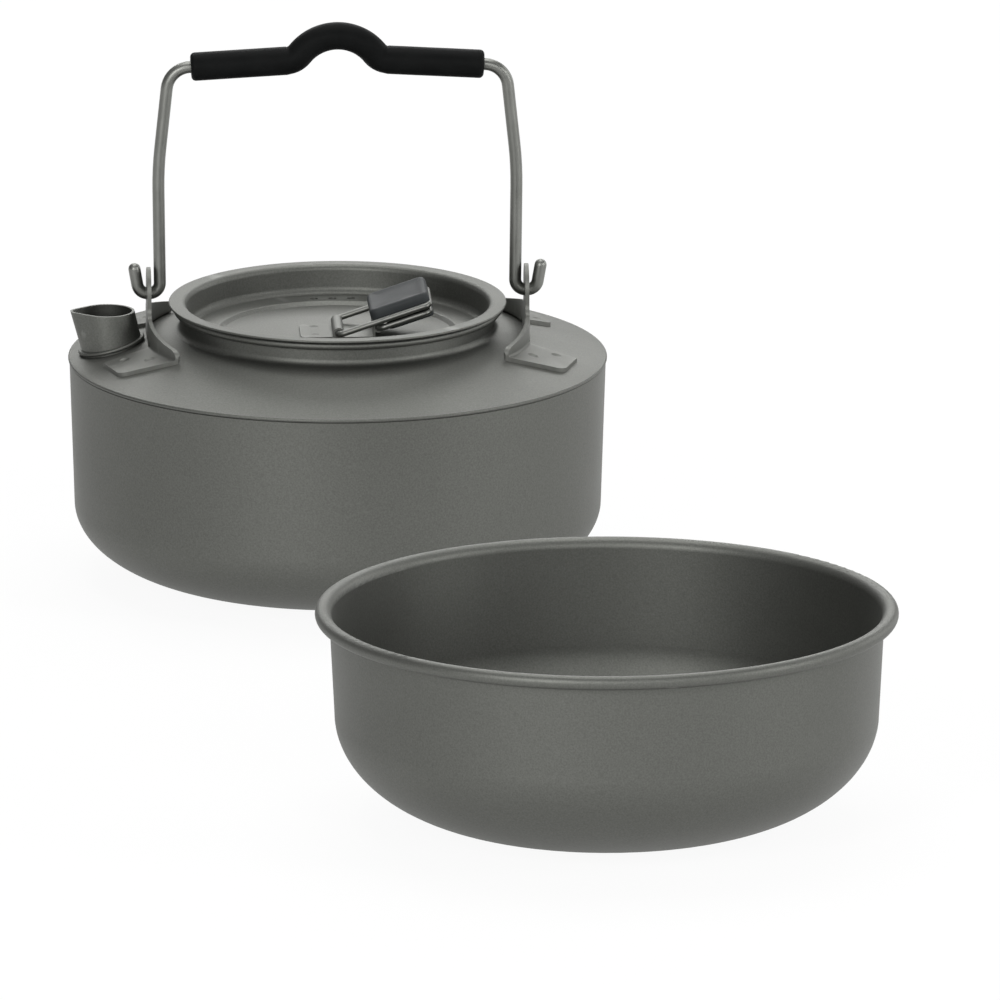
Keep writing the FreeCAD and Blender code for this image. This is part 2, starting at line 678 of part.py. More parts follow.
def flat_pad(points, reach):
    """A pad drawn as its side outline, between the loop's legs and moulded round its wire."""
    half = LOOP_HALF - PAD_SIDE
    side = polygon([FreeCAD.Vector(u, -half, w) for u, w in points])
    block = side.extrude(Y_AXIS * (2 * half))
    return block.makeFillet(PAD_ROUND, block.Edges).cut(loop_wire(reach))


def lid_loop_long():
    return on_hinge(loop_wire(LONG_REACH), LONG_AXIS_X, LONG_AXIS_Z)


def lid_pad_long():
    points = [(LONG_PAD_START, LONG_PAD_LOW), (LONG_PAD_END, LONG_PAD_LOW),
              (LONG_PAD_END, LONG_PAD_RISE), (LONG_PAD_START, LONG_PAD_RISE)]
    return on_hinge(flat_pad(points, LONG_REACH), LONG_AXIS_X, LONG_AXIS_Z)


def lid_loop_short():
    return on_hinge(loop_wire(SHORT_REACH), SHORT_AXIS_X, SHORT_AXIS_Z)


def lid_pad_short():
    points = [(SHORT_PAD_START, -SHORT_PAD_DROP_IN), (SHORT_PAD_END, -SHORT_PAD_DROP_OUT),
              (SHORT_PAD_END, SHORT_PAD_RISE), (SHORT_PAD_START, SHORT_PAD_RISE)]
    return on_hinge(flat_pad(points, SHORT_REACH), SHORT_AXIS_X, SHORT_AXIS_Z)


def bowl():
    edges, outer_foot, inner_foot = drawn_shell(
        BOWL_R, BOWL_TAPER, BOWL_CORNER_R, BOWL_CORNER_H, BOWL_SHEET)
    inner_r = BOWL_R - BOWL_SHEET
    bead = at(BOWL_R + RIM_BEAD_R + RIM_BEAD_OUT, BOWL_H - RIM_BEAD_R)
    over = bead.x - inner_r
    curl = at(bead.x, BOWL_H - over)
    end = 180 + RIM_CURL_END
    bore = RIM_BEAD_R - BOWL_SHEET

    def lip(radius):
        turn = math.radians(end)
        return at(bead.x + radius * math.cos(turn), bead.z + radius * math.sin(turn))

    edges += [
        line(inner_foot, at(inner_r, curl.z)),
        round_arc(curl, over, 180, 90),
        round_arc(bead, RIM_BEAD_R, 90, end - 360),
        line(lip(RIM_BEAD_R), lip(bore)),
        round_arc(bead, bore, end - 360, 90),
        round_arc(curl, over - BOWL_SHEET, 90, 180),
        line(at(BOWL_R, curl.z), outer_foot)]
    shape = turned(outline(edges))
    shape.translate(flat(BOWL_X, BOWL_Y))
    return shape


def main():
    right = bracket()
    parts = {
        "kettle_body": kettle_body(),
        "kettle_shoulder": kettle_shoulder(),
        "spout": spout(),
        "bracket_right": right,
        "bracket_left": mirrored(right),
        "bail_wire": bail_wire(),
        "bail_grip": bail_grip(),
        "lid": lid(),
        "lid_hinge_plate": lid_hinge_plate(),
        "lid_loop_long": lid_loop_long(),
        "lid_pad_long": lid_pad_long(),
        "lid_loop_short": lid_loop_short(),
        "lid_pad_short": lid_pad_short(),
        "bowl": bowl(),
    }
    os.makedirs("parts", exist_ok=True)
    for name, shape in parts.items():
        shape.exportStep("parts/" + name + ".step")
        print(name, len(shape.Solids), shape.isValid(), round(shape.Volume, 1))


main()
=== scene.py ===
"""Finishes, soft pieces and a plain studio for a two-piece titanium camp cooking set.

Units are metres. The kettle stands at the origin with its spout towards -X, and the open bowl
stands in front of it, towards -Y.
"""

import json
import math

import bmesh
import bpy
from bpy.props import FloatProperty, FloatVectorProperty, PointerProperty, StringProperty
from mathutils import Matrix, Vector, noise


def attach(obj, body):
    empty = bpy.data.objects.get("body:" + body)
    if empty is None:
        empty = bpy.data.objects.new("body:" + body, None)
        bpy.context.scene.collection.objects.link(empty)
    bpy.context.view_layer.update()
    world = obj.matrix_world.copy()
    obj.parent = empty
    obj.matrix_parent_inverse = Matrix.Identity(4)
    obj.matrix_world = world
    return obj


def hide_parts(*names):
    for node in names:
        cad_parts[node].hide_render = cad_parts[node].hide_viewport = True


bl_info = {
    "name": "Camp Cooking Pot Set",
    "version": (1, 0, 0),
    "blender": (4, 5, 0),
    "location": "3D View > Sidebar > Cooking Set",
    "description": "Finishes a titanium kettle and bowl and sets up a plain studio round them",
    "category": "Object",
}

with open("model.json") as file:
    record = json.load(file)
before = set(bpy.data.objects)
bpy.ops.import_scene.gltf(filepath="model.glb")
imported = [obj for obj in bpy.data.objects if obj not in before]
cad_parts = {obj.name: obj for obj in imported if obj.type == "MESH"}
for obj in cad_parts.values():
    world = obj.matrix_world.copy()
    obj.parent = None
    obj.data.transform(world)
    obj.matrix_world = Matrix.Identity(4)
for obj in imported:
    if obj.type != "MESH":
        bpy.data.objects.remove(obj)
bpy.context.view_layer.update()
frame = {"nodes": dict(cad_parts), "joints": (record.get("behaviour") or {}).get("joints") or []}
NODES = frame["nodes"]
JOINTS = {joint["name"]: joint for joint in frame["joints"]}

MM = 0.001

DRAWN_NODES = ("kettle_body", "kettle_shoulder", "spout", "lid", "bowl")
SHEET_NODES = ("bracket_right", "bracket_left", "lid_hinge_plate")
WIRE_NODES = ("bail_wire", "lid_loop_long", "lid_loop_short")


# ---------------------------------------------------------------- colours and nodes

def linear(hex_colour):
    """sRGB hex to the linear RGBA that the shader sockets take."""
    def channel(index):
        value = int(hex_colour[index:index + 2], 16) / 255
        return value / 12.92 if value <= 0.04045 else ((value + 0.055) / 1.055) ** 2.4
    return tuple(channel(index) for index in (1, 3, 5)) + (1.0,)


def add(tree, kind, inputs=None, **settings):
    """A node with its settings; each input is a value, or an output socket to link from."""
    node = tree.nodes.new(kind)
    for name, value in settings.items():
        setattr(node, name, value)
    for name, value in (inputs or {}).items():
        if isinstance(value, bpy.types.NodeSocket):
            tree.links.new(value, node.inputs[name])
        else:
            node.inputs[name].default_value = value
    return node


def new_material(name):
    """A material with an empty node tree, and that tree."""
    material = bpy.data.materials.new(name)
    material.use_nodes = True
    material.node_tree.nodes.clear()
    return material, material.node_tree


def per_metre(millimetres):
    """Noise scale whose features are about this many millimetres across."""
    return 1000 / millimetres


def surface(tree, shader):
    """Make this shader the material's surface."""
    add(tree, "ShaderNodeOutputMaterial", {"Surface": shader})


def paint(nodes, material):
    """Give these CAD nodes one material."""
    for name in nodes:
        slots = NODES[name].data.materials
        slots.clear()
        slots.append(material)


# ---------------------------------------------------------------- materials

def blasted_titanium(finish):
    """Titanium sheet, drawn and then bead-blasted.

    The eye gets a soft greenish grey that gleams without mirroring, a fine sparkle of grit marks,
    slow cloudy changes of gloss from the hand-held blasting, and paler edges: partly rubbed wear,
    partly a painted highlight along ridges such as the seam.
    """
    material, tree = new_material("titanium_drawn_blasted")
    place = add(tree, "ShaderNodeTexCoord").outputs["Object"]
    # The real grit marks are about 0.1 mm; they are drawn 0.45 mm wide so that they show.
    grit = add(tree, "ShaderNodeTexNoise",
               {"Vector": place, "Scale": per_metre(0.45), "Detail": 3.0, "Roughness": 0.65})
    clouds = add(tree, "ShaderNodeTexNoise",
                 {"Vector": place, "Scale": per_metre(38.0), "Detail": 2.0, "Roughness": 0.5})
    edges = add(tree, "ShaderNodeNewGeometry")
    # Convex edges turn paler: partly rubbed wear, partly a painted highlight along ridges such as
    # the seam.
    paler_edges = add(tree, "ShaderNodeMapRange",
               {"Value": edges.outputs["Pointiness"], "From Min": 0.56, "From Max": 0.66,
                "To Min": 0.0, "To Max": 0.9})
    speckle = add(tree, "ShaderNodeMapRange",
                  {"Value": grit.outputs["Fac"], "From Min": 0.3, "From Max": 0.7,
                   "To Min": 0.0, "To Max": 1.0})
    grained = add(tree, "ShaderNodeMix",
                  {"Factor": speckle.outputs["Result"], "A": linear(finish.shade),
                   "B": linear(finish.colour)}, data_type="RGBA")
    colour = add(tree, "ShaderNodeMix",
                 {"Factor": paler_edges.outputs["Result"], "A": grained.outputs["Result"],
                  "B": linear(finish.rubbed)}, data_type="RGBA")
    gloss = add(tree, "ShaderNodeMapRange",
                {"Value": clouds.outputs["Fac"], "From Min": 0.3, "From Max": 0.7,
                 "To Min": finish.roughness - 0.03, "To Max": finish.roughness + 0.04})
    bump = add(tree, "ShaderNodeBump",
               {"Height": grit.outputs["Fac"], "Strength": 0.35, "Distance": 0.06 * MM})
    shader = add(tree, "ShaderNodeBsdfPrincipled",
                 {"Base Color": colour.outputs["Result"], "Metallic": 1.0,
                  "Roughness": gloss.outputs["Result"], "Normal": bump.outputs["Normal"]})
    surface(tree, shader.outputs["BSDF"])
    return material


def cut_titanium(finish):
    """Titanium sheet, punched, folded and lightly blasted.

    The eye gets the same soft grey as the drawn pieces, with the faint long grain of rolled
    sheet and slightly brighter cut edges.
    """
    material, tree = new_material("titanium_sheet_folded")
    place = add(tree, "ShaderNodeTexCoord").outputs["Object"]
    # Rolling draws the grain out, here to about eight times its width.
    stretched = add(tree, "ShaderNodeMapping", {"Vector": place, "Scale": (1.0, 0.12, 1.0)})
    rolled = add(tree, "ShaderNodeTexNoise",
                 {"Vector": stretched.outputs["Vector"], "Scale": per_metre(0.6),
                  "Detail": 3.0, "Roughness": 0.6})
    # The grit marks are finer than this; they are drawn 0.4 mm wide so that they show.
    grit = add(tree, "ShaderNodeTexNoise",
               {"Vector": place, "Scale": per_metre(0.4), "Detail": 2.0, "Roughness": 0.6})
    edges = add(tree, "ShaderNodeNewGeometry")
    paler_edges = add(tree, "ShaderNodeMapRange",
               {"Value": edges.outputs["Pointiness"], "From Min": 0.52, "From Max": 0.60,
                "To Min": 0.0, "To Max": 0.4})
    grained = add(tree, "ShaderNodeMix",
                  {"Factor": rolled.outputs["Fac"], "A": linear(finish.shade),
                   "B": linear(finish.colour)}, data_type="RGBA")
    colour = add(tree, "ShaderNodeMix",
                 {"Factor": paler_edges.outputs["Result"], "A": grained.outputs["Result"],
                  "B": linear(finish.rubbed)}, data_type="RGBA")
    gloss = add(tree, "ShaderNodeMapRange",
                {"Value": rolled.outputs["Fac"], "From Min": 0.3, "From Max": 0.7,
                 "To Min": finish.roughness - 0.04, "To Max": finish.roughness + 0.03})
    bump = add(tree, "ShaderNodeBump",
               {"Height": grit.outputs["Fac"], "Strength": 0.25, "Distance": 0.05 * MM})
    shader = add(tree, "ShaderNodeBsdfPrincipled",
                 {"Base Color": colour.outputs["Result"], "Metallic": 1.0,
                  "Roughness": gloss.outputs["Result"], "Normal": bump.outputs["Normal"]})
    surface(tree, shader.outputs["BSDF"])
    return material


def drawn_wire(finish):
    """Titanium wire, drawn through a die and bent.

    The eye gets a satin rod with a clear soft highlight along it, and the faint patchiness of
    the drawing lubricant's stain.
    """
    material, tree = new_material("titanium_wire_drawn")
    place = add(tree, "ShaderNodeTexCoord").outputs["Object"]
    stain = add(tree, "ShaderNodeTexNoise",
                {"Vector": place, "Scale": per_metre(6.0), "Detail": 3.0, "Roughness": 0.6})
    # The die leaves finer marks than this; they are drawn 0.4 mm wide so that they show.
    grit = add(tree, "ShaderNodeTexNoise",
               {"Vector": place, "Scale": per_metre(0.4), "Detail": 2.0, "Roughness": 0.6})
    colour = add(tree, "ShaderNodeMix",
                 {"Factor": stain.outputs["Fac"], "A": linear(finish.colour),
                  "B": linear(finish.rubbed)}, data_type="RGBA")
    gloss = add(tree, "ShaderNodeMapRange",
                {"Value": stain.outputs["Fac"], "From Min": 0.3, "From Max": 0.7,
                 "To Min": finish.roughness - 0.16, "To Max": finish.roughness - 0.08})
    bump = add(tree, "ShaderNodeBump",
               {"Height": grit.outputs["Fac"], "Strength": 0.2, "Distance": 0.04 * MM})
    shader = add(tree, "ShaderNodeBsdfPrincipled",
                 {"Base Color": colour.outputs["Result"], "Metallic": 1.0,
                  "Roughness": gloss.outputs["Result"], "Normal": bump.outputs["Normal"]})
    surface(tree, shader.outputs["BSDF"])
    return material


def moulded_silicone(name, colour_hex, dust_hex, specular):
    """Silicone rubber, moulded or extruded, with a fine matt skin.

    The eye gets a soft dull surface that swallows most reflections, with a thin uneven film of
    dust that lifts its tone.
    """
    material, tree = new_material(name)
    place = add(tree, "ShaderNodeTexCoord").outputs["Object"]
    # The real skin is finer than this; 0.35 mm is the finest that shows.
    skin = add(tree, "ShaderNodeTexNoise",
               {"Vector": place, "Scale": per_metre(0.35), "Detail": 2.0, "Roughness": 0.6})
    dust = add(tree, "ShaderNodeTexNoise",
               {"Vector": place, "Scale": per_metre(9.0), "Detail": 4.0, "Roughness": 0.6})
    film = add(tree, "ShaderNodeMapRange",
               {"Value": dust.outputs["Fac"], "From Min": 0.4, "From Max": 0.75,
                "To Min": 0.0, "To Max": 0.4})
    colour = add(tree, "ShaderNodeMix",
                 {"Factor": film.outputs["Result"], "A": linear(colour_hex),
                  "B": linear(dust_hex)}, data_type="RGBA")
    gloss = add(tree, "ShaderNodeMapRange",
                {"Value": dust.outputs["Fac"], "From Min": 0.3, "From Max": 0.7,
                 "To Min": 0.50, "To Max": 0.62})
    bump = add(tree, "ShaderNodeBump",
               {"Height": skin.outputs["Fac"], "Strength": 0.3, "Distance": 0.04 * MM})
    shader = add(tree, "ShaderNodeBsdfPrincipled",
                 {"Base Color": colour.outputs["Result"], "Roughness": gloss.outputs["Result"],
                  "IOR": 1.41, "Specular IOR Level": specular,
                  "Normal": bump.outputs["Normal"]})
    surface(tree, shader.outputs["BSDF"])
    return material


def shown_white(tree, seen, mirrored):
    """Share of plain white: seen is for the camera, mirrored for metal and glass."""
    rays = add(tree, "ShaderNodeLightPath")
    direct = add(tree, "ShaderNodeMath", {0: rays.outputs["Is Camera Ray"], 1: seen},
                 operation="MULTIPLY")
    bounced = add(tree, "ShaderNodeMath",
                  {0: rays.outputs["Is Glossy Ray"], 1: rays.outputs["Is Transmission Ray"]},
                  operation="MAXIMUM")
    reflected = add(tree, "ShaderNodeMath", {0: bounced.outputs[0], 1: mirrored},
                    operation="MULTIPLY")
    white = add(tree, "ShaderNodeMath", {0: direct.outputs[0], 1: reflected.outputs[0]},
                operation="MAXIMUM")
    return white.outputs[0]


def paper_sweep(stage):
    """White seamless paper, matt.

    The camera sees it nearly white and it still takes a soft shadow. Metal mirrors it partly
    as plain white and partly as it is lit, so darker where the set shades it.
    """
    material, tree = new_material("paper_white_matt")
    place = add(tree, "ShaderNodeTexCoord").outputs["Object"]
    # Single fibres are far finer; they are drawn as clumps of 1.5 mm.
    fibre = add(tree, "ShaderNodeTexNoise",
                {"Vector": place, "Scale": per_metre(1.5), "Detail": 2.0, "Roughness": 0.5})
    bump = add(tree, "ShaderNodeBump",
               {"Height": fibre.outputs["Fac"], "Strength": 0.05, "Distance": 0.05 * MM})
    paper = add(tree, "ShaderNodeBsdfDiffuse",
                {"Color": linear(stage.floor_colour), "Normal": bump.outputs["Normal"]})
    glow = add(tree, "ShaderNodeEmission", {"Color": (1, 1, 1, 1), "Strength": 1.0})
    white = shown_white(tree, stage.floor_white, stage.floor_mirrored)
    mixed = add(tree, "ShaderNodeMixShader",
                {0: white, 1: paper.outputs["BSDF"], 2: glow.outputs["Emission"]})
    surface(tree, mixed.outputs["Shader"])
    return material


# ---------------------------------------------------------------- settings

class CookingSetFinish(bpy.types.PropertyGroup):
    """Colours and gloss of the metal and the silicone."""
    colour: StringProperty(
        name="Titanium", description="Blasted titanium, sRGB hex", default="#6f706c")
    shade: StringProperty(
        name="Titanium shade", description="The darker grains of the blasted finish, sRGB hex",
        default="#61625e")
    # Paler titanium of rubbed edges; on the drawn pieces it also paints the highlight along ridges
    # such as the seam, and on the wire it is the paler stain.
    rubbed: StringProperty(
        name="Rubbed edge", description="Titanium where edges are rubbed, sRGB hex",
        default="#888985")
    roughness: FloatProperty(
        name="Roughness", description="Middle roughness of the blasted finish",
        default=0.54, min=0.2, max=0.8, subtype="FACTOR")
    grip: StringProperty(
        name="Grip", description="Black silicone of the bail's grip, sRGB hex",
        default="#0c0d0d")
    grip_dust: StringProperty(
        name="Dust on the grip", description="Tone of the grip where dust lies, sRGB hex",
        default="#1a1b1b")
    pad: StringProperty(
        name="Pads", description="Grey silicone of the lid's pads, sRGB hex", default="#2f3233")
    pad_dust: StringProperty(
        name="Dust on the pads", description="Tone of the pads where dust lies, sRGB hex",
        default="#3d4041")


def length(name, description, millimetres):
    """A length property whose default is given in millimetres."""
    return FloatProperty(name=name, description=description, default=millimetres * MM,
                         unit="LENGTH", precision=5)


class CookingSetGripSizes(bpy.types.PropertyGroup):
    """The sleeve on the bail, along the wire's middle line."""
    radius: length("Radius", "Outside of the sleeve", 3.55)
    bore: length("Bore", "Inside of the sleeve, tight on the wire", 1.5)
    half: length("Half length", "From the middle of the bail to the sleeve's end", 36.2)
    top: length("Hump top", "Height of the wire's middle line at the hump's top", 136.2)
    hump: length("Hump radius", "Middle line of the hump", 11.8)
    bend: length("Bend radius", "Middle line of the bends beside the hump", 4.5)
    foot: length("Foot", "Height of the middle line where the hump's bends end", 130.0)
    slope: FloatProperty(
        name="Slope", description="Rise of the bail's bar towards the hump",
        default=math.radians(3.2), subtype="ANGLE", unit="ROTATION")
    end_round: length("End round", "Rounding of the sleeve's cut ends", 1.1)
    uneven: length("Unevenness", "How far the skin wanders from true", 0.05)
    pinch: FloatProperty(
        name="Pinch", description="How much the tube flattens in its bends", default=0.035,
        min=0.0, max=0.1, subtype="FACTOR")


class CookingSetPadSizes(bpy.types.PropertyGroup):
    """The moulded pads on the lid's loops, in the plane of each loop."""
    half_width: length("Half width", "From the middle of the loop to the pad's side", 7.85)
    corner: length("Corner", "Plan radius of the corners nearer the hinge", 2.2)
    outer_corner: length("Outer corner", "Plan radius of the corners at the loop's end", 1.5)
    lean: length("Lean", "How much the top rises towards the rear", 0.8)
    long_start: length("Long pad start", "From the hinge to the long pad", 8.8)
    long_end: length("Long pad end", "From the hinge to the long pad's far end", 24.0)
    long_low: length("Long pad bottom", "Underside above the wires' middle plane", 0.1)
    long_rise: length("Long pad rise", "Top above the wires' middle plane", 3.4)
    short_start: length("Short pad start", "From the hinge to the short pad", 2.1)
    short_end: length("Short pad end", "From the hinge to the short pad's far end", 14.0)
    short_low: length("Short pad bottom", "Underside above the wires' middle plane", -1.4)
    short_rise: length("Short pad rise", "Top above the wires' middle plane", 0.5)
    tilt: FloatProperty(
        name="Tilt", description="How far the loops stand up at rest",
        default=math.radians(18.5), subtype="ANGLE", unit="ROTATION")


class CookingSetStage(bpy.types.PropertyGroup):
    """Floor, lamps and camera."""
    floor_size: FloatProperty(
        name="Floor", description="Side of the square floor", default=16.0, unit="LENGTH")
    floor_colour: StringProperty(
        name="Floor colour", description="Paper colour, sRGB hex", default="#f0f0f0")
    floor_white: FloatProperty(
        name="Floor whiteness", description="Share of plain white in what the camera sees",
        default=0.93, min=0.0, max=1.0, subtype="FACTOR")
    floor_mirrored: FloatProperty(
        name="Floor whiteness in metal", description="Share of plain white that the metal mirrors",
        default=0.6, min=0.0, max=1.0, subtype="FACTOR")
    world_grey: FloatProperty(
        name="World", description="Brightness of the soft light from all round", default=0.26)
    world_mirrored: FloatProperty(
        name="World in metal", description="Share of plain white that the metal mirrors above it",
        default=0.28, min=0.0, max=1.0, subtype="FACTOR")
    distance: FloatProperty(
        name="Camera distance", description="From the camera to its aim", default=11.0,
        unit="LENGTH")
    lens: FloatProperty(
        name="Lens", description="Focal length in millimetres", default=1600.87, unit="CAMERA")
    azimuth: FloatProperty(
        name="Camera azimuth", description="Turn of the camera about the set",
        default=math.radians(-2.5), subtype="ANGLE", unit="ROTATION")
    elevation: FloatProperty(
        name="Camera elevation", description="Height of the camera above the horizon",
        default=math.radians(14.06), subtype="ANGLE", unit="ROTATION")
    aim: FloatVectorProperty(
        name="Aim", description="Point at the centre of the view",
        default=(0.0400989, -0.00175, 0.0181312), subtype="TRANSLATION", unit="LENGTH")


# ---------------------------------------------------------------- operators

class CookingSetDrawn(bpy.types.Operator):
    """Finish the drawn and blasted vessels, shoulder, spout and lid"""
    bl_idname = "cooking_set.drawn"
    bl_label = "Drawn titanium"

    def execute(self, context):
        paint(DRAWN_NODES, blasted_titanium(context.scene.cooking_finish))
        return {"FINISHED"}


class CookingSetSheet(bpy.types.Operator):
    """Finish the folded brackets and the lid's hinge plate"""
    bl_idname = "cooking_set.sheet"
    bl_label = "Folded titanium"

    def execute(self, context):
        paint(SHEET_NODES, cut_titanium(context.scene.cooking_finish))
        return {"FINISHED"}


class CookingSetWire(bpy.types.Operator):
    """Finish the bail and the lid's two wire loops"""
    bl_idname = "cooking_set.wire"
    bl_label = "Titanium wire"

    def execute(self, context):
        paint(WIRE_NODES, drawn_wire(context.scene.cooking_finish))
        return {"FINISHED"}


def mesh_piece(name, rings, closed_ends, material):
    """A smooth mesh from rings of points, each joined to the next.

    The last ring joins the first one, or with closed_ends both are filled instead.
    """
    build = bmesh.new()
    rows = [[build.verts.new(point) for point in ring] for ring in rings]
    count = len(rows[0])
    pairs = list(zip(rows, rows[1:]))
    if not closed_ends:
        pairs.append((rows[-1], rows[0]))
    for row, after in pairs:
        for index in range(count):
            nearby = (index + 1) % count
            build.faces.new((row[index], row[nearby], after[nearby], after[index]))
    if closed_ends:
        for row in (rows[0], rows[-1]):
            middle = build.verts.new(sum((vert.co for vert in row), Vector()) / count)
            for index in range(count):
                build.faces.new((row[index], row[(index + 1) % count], middle))
    bmesh.ops.recalc_face_normals(build, faces=build.faces)
    mesh = bpy.data.meshes.new(name)
    build.to_mesh(mesh)
    build.free()
    mesh.shade_smooth()
    mesh.materials.append(material)
    piece = bpy.data.objects.new(name, mesh)
    bpy.context.scene.collection.objects.link(piece)
    return piece


# The sleeve's mesh: its rings' spacing along the wire, the points round a ring, and the steps
# round the lip at each end.
GRIP_RING_STEP = 0.55 * MM
GRIP_SIDES = 48
GRIP_LIP_STEPS = 7
# The cut ends are slightly hollow: how far the face and the bore's mouth lie behind the tip.
GRIP_FACE_BACK = 0.12 * MM
GRIP_MOUTH_BACK = 0.25 * MM
# Millimetres between the high places of the skin.
GRIP_WANDER = 7.0
# Specular level of the black silicone: its matt skin shows almost no reflection.
GRIP_SPECULAR = 0.08


def grip_line(sizes, step):
    """The bail's middle line under the sleeve, between the places where its rounded ends begin.

    A list from left to right of (point, direction, bend), where bend is 1 on the hump, -1 in the
    bends beside it and 0 on the straight bar.
    """
    fillet_z = sizes.foot + sizes.bend
    hump_z = sizes.top - sizes.hump
    fillet_x = math.sqrt((sizes.hump + sizes.bend) ** 2 - (fillet_z - hump_z) ** 2)
    meet = math.atan2(fillet_z - hump_z, fillet_x)
    foot = Vector((fillet_x - sizes.bend * math.sin(sizes.slope), 0.0,
                   fillet_z - sizes.bend * math.cos(sizes.slope)))
    along = Vector((math.cos(sizes.slope), 0.0, -math.sin(sizes.slope)))
    run = (sizes.half - sizes.end_round - foot.x) / along.x
    fillet_turn = math.pi / 2 - sizes.slope - meet
    hump_turn = math.pi / 2 - meet
    half = []
    for index in range(math.ceil(sizes.hump * hump_turn / step)):
        turn = math.pi / 2 - index * step / sizes.hump
        half.append((Vector((sizes.hump * math.cos(turn), 0.0,
                             hump_z + sizes.hump * math.sin(turn))),
                     Vector((math.sin(turn), 0.0, -math.cos(turn))), 1.0))
    for index in range(math.ceil(sizes.bend * fillet_turn / step)):
        turn = math.pi + meet + index * step / sizes.bend
        half.append((Vector((fillet_x + sizes.bend * math.cos(turn), 0.0,
                             fillet_z + sizes.bend * math.sin(turn))),
                     Vector((-math.sin(turn), 0.0, math.cos(turn))), -1.0))
    count = math.ceil(run / step)
    half += [(foot + along * run * index / count, along, 0.0) for index in range(count + 1)]
    mirrored = [(Vector((-place.x, 0.0, place.z)), Vector((way.x, 0.0, -way.z)), bend)
                for place, way, bend in reversed(half[1:])]
    return mirrored + half


def grip_profile(sizes, line):
    """Each ring's (index on the line, shift along it, radius), over the skin and back inside."""
    last = len(line) - 1
    lip = []
    for index in range(GRIP_LIP_STEPS + 1):
        turn = math.pi / 2 * index / GRIP_LIP_STEPS
        lip.append((sizes.end_round * math.sin(turn),
                    sizes.radius - sizes.end_round * (1 - math.cos(turn))))
    face = (sizes.end_round - GRIP_FACE_BACK, (sizes.bore + sizes.radius - sizes.end_round) / 2)
    mouth = (sizes.end_round - GRIP_MOUTH_BACK, sizes.bore)
    ends = lip + [face, mouth]
    start = [(0, -shift, radius) for shift, radius in reversed(ends)]
    skin = [(index, 0.0, sizes.radius) for index in range(1, last)]
    end = [(last, shift, radius) for shift, radius in ends]
    bore = [(index, 0.0, sizes.bore) for index in range(last - 1, 0, -1)]
    return start + skin + end + bore


class CookingSetGrip(bpy.types.Operator):
    """Slide the black silicone sleeve onto the bail"""
    bl_idname = "cooking_set.grip"
    bl_label = "Bail grip"

    def execute(self, context):
        finish = context.scene.cooking_finish
        sizes = context.scene.cooking_grip
        line = grip_line(sizes, GRIP_RING_STEP)
        rings = []
        for index, shift, radius in grip_profile(sizes, line):
            place, way, bend = line[index]
            up = Vector((-way.z, 0.0, way.x))
            pinch = abs(bend) * sizes.pinch
            ring = []
            for side in range(GRIP_SIDES):
                turn = math.tau * side / GRIP_SIDES
                out = up * math.cos(turn) * (1 - pinch) + Vector((0, 1, 0)) * math.sin(turn)
                point = place + way * shift + out * radius
                if radius > sizes.bore:
                    drift = (1 + noise.noise(point * per_metre(GRIP_WANDER))) / 2
                    point -= out * drift * sizes.uneven
                ring.append(point)
            rings.append(ring)
        material = moulded_silicone(
            "silicone_black_matt", finish.grip, finish.grip_dust, GRIP_SPECULAR)
        piece = mesh_piece("bail_grip_sleeve", rings, False, material)
        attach(piece, "bail")
        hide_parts("bail_grip")
        return {"FINISHED"}


# The tightest plan corner left when a pad's outline is drawn in.
PAD_LEAST_CORNER = 0.05 * MM
# Thickness from which a pad takes its section's added millimetres in full, thinner ones less.
PAD_FULL_THICKNESS = 2.2 * MM
# Specular level of the grey silicone: a little more shows than on the grip.
PAD_SPECULAR = 0.3


def pad_outline(start, end, half, inner_r, outer_r, inset):
    """Plan points of a rounded rectangle, drawn in by inset, always the same number of points."""
    corners = ((end, -half, outer_r, -90), (end, half, outer_r, 0),
               (start, half, inner_r, 90), (start, -half, inner_r, 180))
    arc_steps, side_steps = 8, 7
    points = []
    for u, v, radius, angle in corners:
        u_side, v_side = (1 if u == end else -1), (1 if v > 0 else -1)
        small = max(radius - inset, PAD_LEAST_CORNER)
        centre = (u - u_side * (inset + small), v - v_side * (inset + small))
        for step in range(arc_steps + 1):
            turn = math.radians(angle + 90 * step / arc_steps)
            points.append((centre[0] + small * math.cos(turn), centre[1] + small * math.sin(turn)))
    filled = []
    per_corner = arc_steps + 1
    for index, point in enumerate(points):
        filled.append(point)
        if index % per_corner == arc_steps:
            after = points[(index + 1) % len(points)]
            filled += [tuple(a + (b - a) * step / side_steps for a, b in zip(point, after))
                       for step in range(1, side_steps)]
    return filled


# Across a pad, from the middle of its underside to the middle of its top: millimetres in from
# the outline, share of the way up, and millimetres added to that. The top is dished for a thumb.
PAD_SECTION = (
    (5.0, 0, 0.0), (2.0, 0, 0.0), (0.55, 0, 0.0), (0.25, 0, 0.06), (0.07, 0, 0.22), (0.0, 0, 0.5),
    (0.0, 0.5, 0.0), (0.03, 1, -0.85), (0.15, 1, -0.5), (0.38, 1, -0.22), (0.7, 1, -0.05),
    (1.0, 1, 0.0), (1.35, 1, -0.03), (1.7, 1, -0.1), (2.3, 1, -0.22), (3.1, 1, -0.32),
    (4.2, 1, -0.36), (6.0, 1, -0.38))


def pad_piece(name, shape, sizes, hinge, material):
    """A moulded pad in its loop's plane: shape is its start, end, bottom and top."""
    start, end, low, rise = shape
    squeeze = min(1.0, (rise - low) / PAD_FULL_THICKNESS)
    rings = []
    for inset, share, lift in PAD_SECTION:
        ring = []
        for u, v in pad_outline(start, end, sizes.half_width, sizes.corner, sizes.outer_corner,
                                inset * MM):
            w = low + share * (rise + sizes.lean * v / (2 * sizes.half_width) - low)
            w += lift * MM * squeeze
            ring.append(Vector((
                hinge[0] + u * math.cos(sizes.tilt) - w * math.sin(sizes.tilt), v,
                hinge[2] + u * math.sin(sizes.tilt) + w * math.cos(sizes.tilt))))
        rings.append(ring)
    return mesh_piece(name, rings, True, material)


